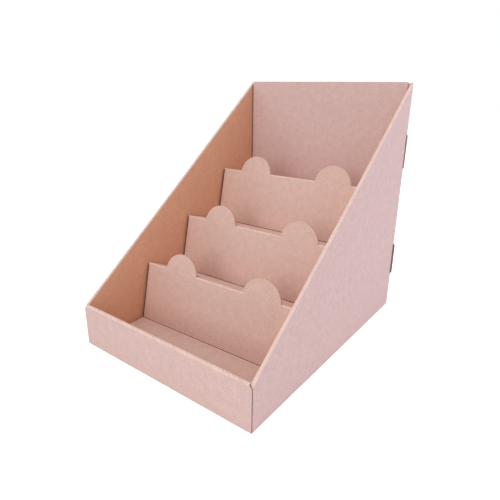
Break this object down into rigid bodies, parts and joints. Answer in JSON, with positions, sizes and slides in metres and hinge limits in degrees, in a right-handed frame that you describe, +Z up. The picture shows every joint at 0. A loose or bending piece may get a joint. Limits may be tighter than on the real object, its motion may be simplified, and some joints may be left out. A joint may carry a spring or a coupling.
{
  "type": "cardboard display stand",
  "caption": "Counter display stand of folded brown corrugated board: an open case with sloping sides and a stepped insert with half-round ears.",
  "frame": {"origin": "on the ground, under the middle of the stand's outline", "axes": "+Z up, the low front wall faces -Y, +X to the right seen from the front; depth (Y) is the longest extent and width (X) the shortest"},
  "size_m": [0.252, 0.332, 0.3045],
  "materials": {
    "case_board": "matt brown kraft liner",
    "insert_board": "matt brown kraft liner"
  },
  "bodies": {
    "root": {"outer_case": "case_board", "step_insert": "insert_board"}
  },
  "joints": []
}
